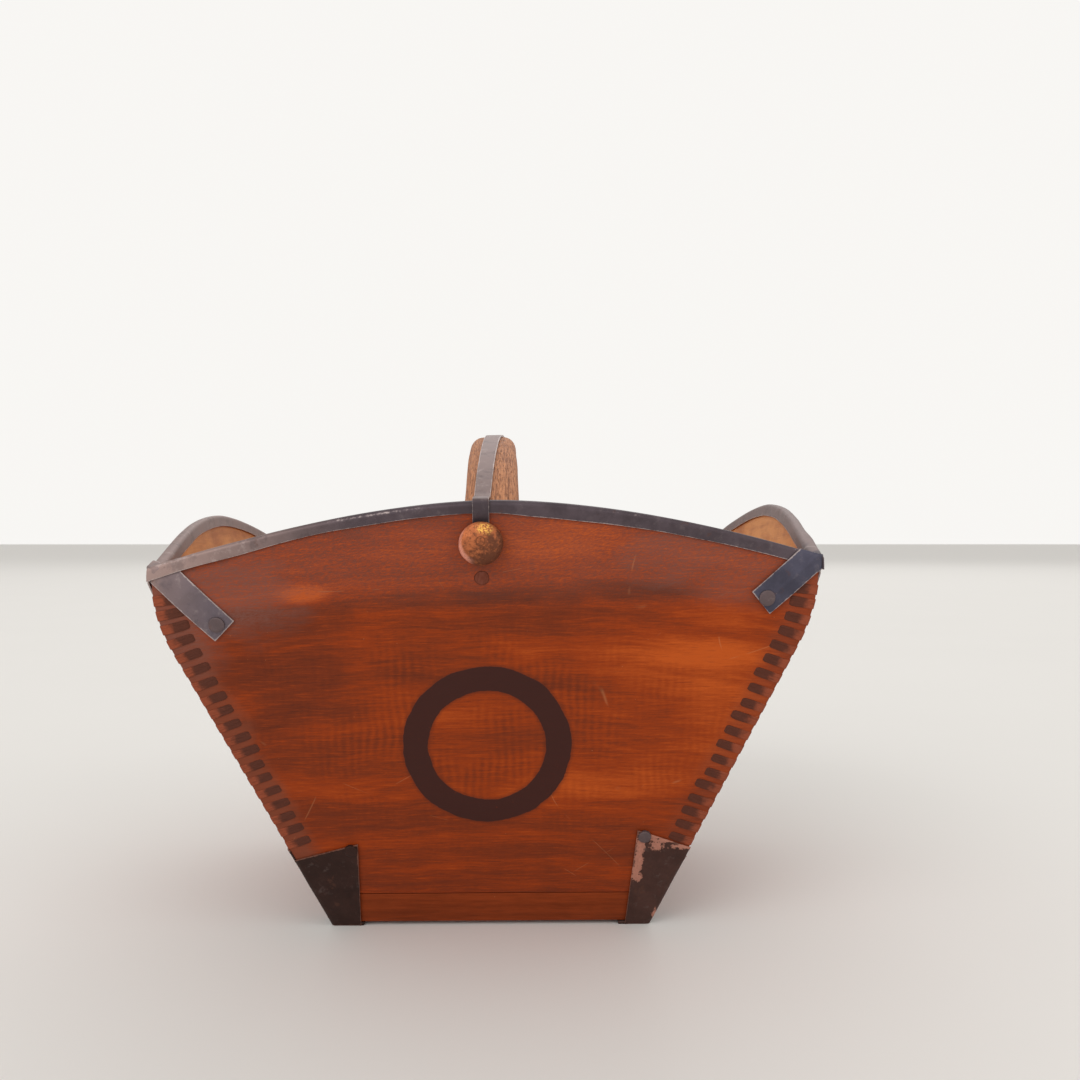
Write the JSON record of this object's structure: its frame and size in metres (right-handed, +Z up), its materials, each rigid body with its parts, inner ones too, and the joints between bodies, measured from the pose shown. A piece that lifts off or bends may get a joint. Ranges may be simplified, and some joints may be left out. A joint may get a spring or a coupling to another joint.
{
  "type": "grain measure",
  "caption": "Flared square grain measure of thin laced boards on a thick base, with iron bound rim and corners and a fixed wooden bow handle.",
  "frame": {"origin": "on the table under the middle of the base, at the bottom centre of the whole object", "axes": "+Z up, -Y towards the viewer of the picture, the handle runs along Y, +X to the right"},
  "size_m": [0.405, 0.4086, 0.318],
  "materials": {
    "stained_wood": "worn shellac over orange brown stain",
    "base_wood": "worn dark stain",
    "raw_wood": "dry, handled smooth",
    "bark": "split bark, dull",
    "iron": "dark sheet iron, rubbed bright at the edges",
    "dark_iron": "nearly black sheet iron with brown wear",
    "copper": "tarnished copper, mottled"
  },
  "bodies": {
    "root": {"base_board": "base_wood", "front_wall": "stained_wood", "right_wall": "stained_wood", "back_wall": "stained_wood", "left_wall": "stained_wood", "front_rim_strip": "iron", "right_rim_strip": "iron", "back_rim_strip": "iron", "left_rim_strip": "iron", "front_tab_rivet_left": "iron", "front_tab_rivet_right": "iron", "right_tab_rivet_left": "iron", "right_tab_rivet_right": "iron", "back_tab_rivet_left": "iron", "back_tab_rivet_right": "iron", "left_tab_rivet_left": "iron", "left_tab_rivet_right": "iron", "front_shoe_rivet_left": "iron", "front_shoe_rivet_right": "iron", "right_shoe_rivet_left": "iron", "right_shoe_rivet_right": "iron", "back_shoe_rivet_left": "iron", "back_shoe_rivet_right": "iron", "left_shoe_rivet_left": "iron", "left_shoe_rivet_right": "iron", "front_right_lacing": "bark", "back_right_lacing": "bark", "back_left_lacing": "bark", "front_left_lacing": "bark", "front_right_shoe": "dark_iron", "back_right_shoe": "dark_iron", "back_left_shoe": "dark_iron", "front_left_shoe": "dark_iron", "handle_bow": "raw_wood", "handle_strap": "iron", "front_nail": "copper", "back_nail": "copper", "front_peg": "base_wood", "back_peg": "base_wood"}
  },
  "joints": []
}
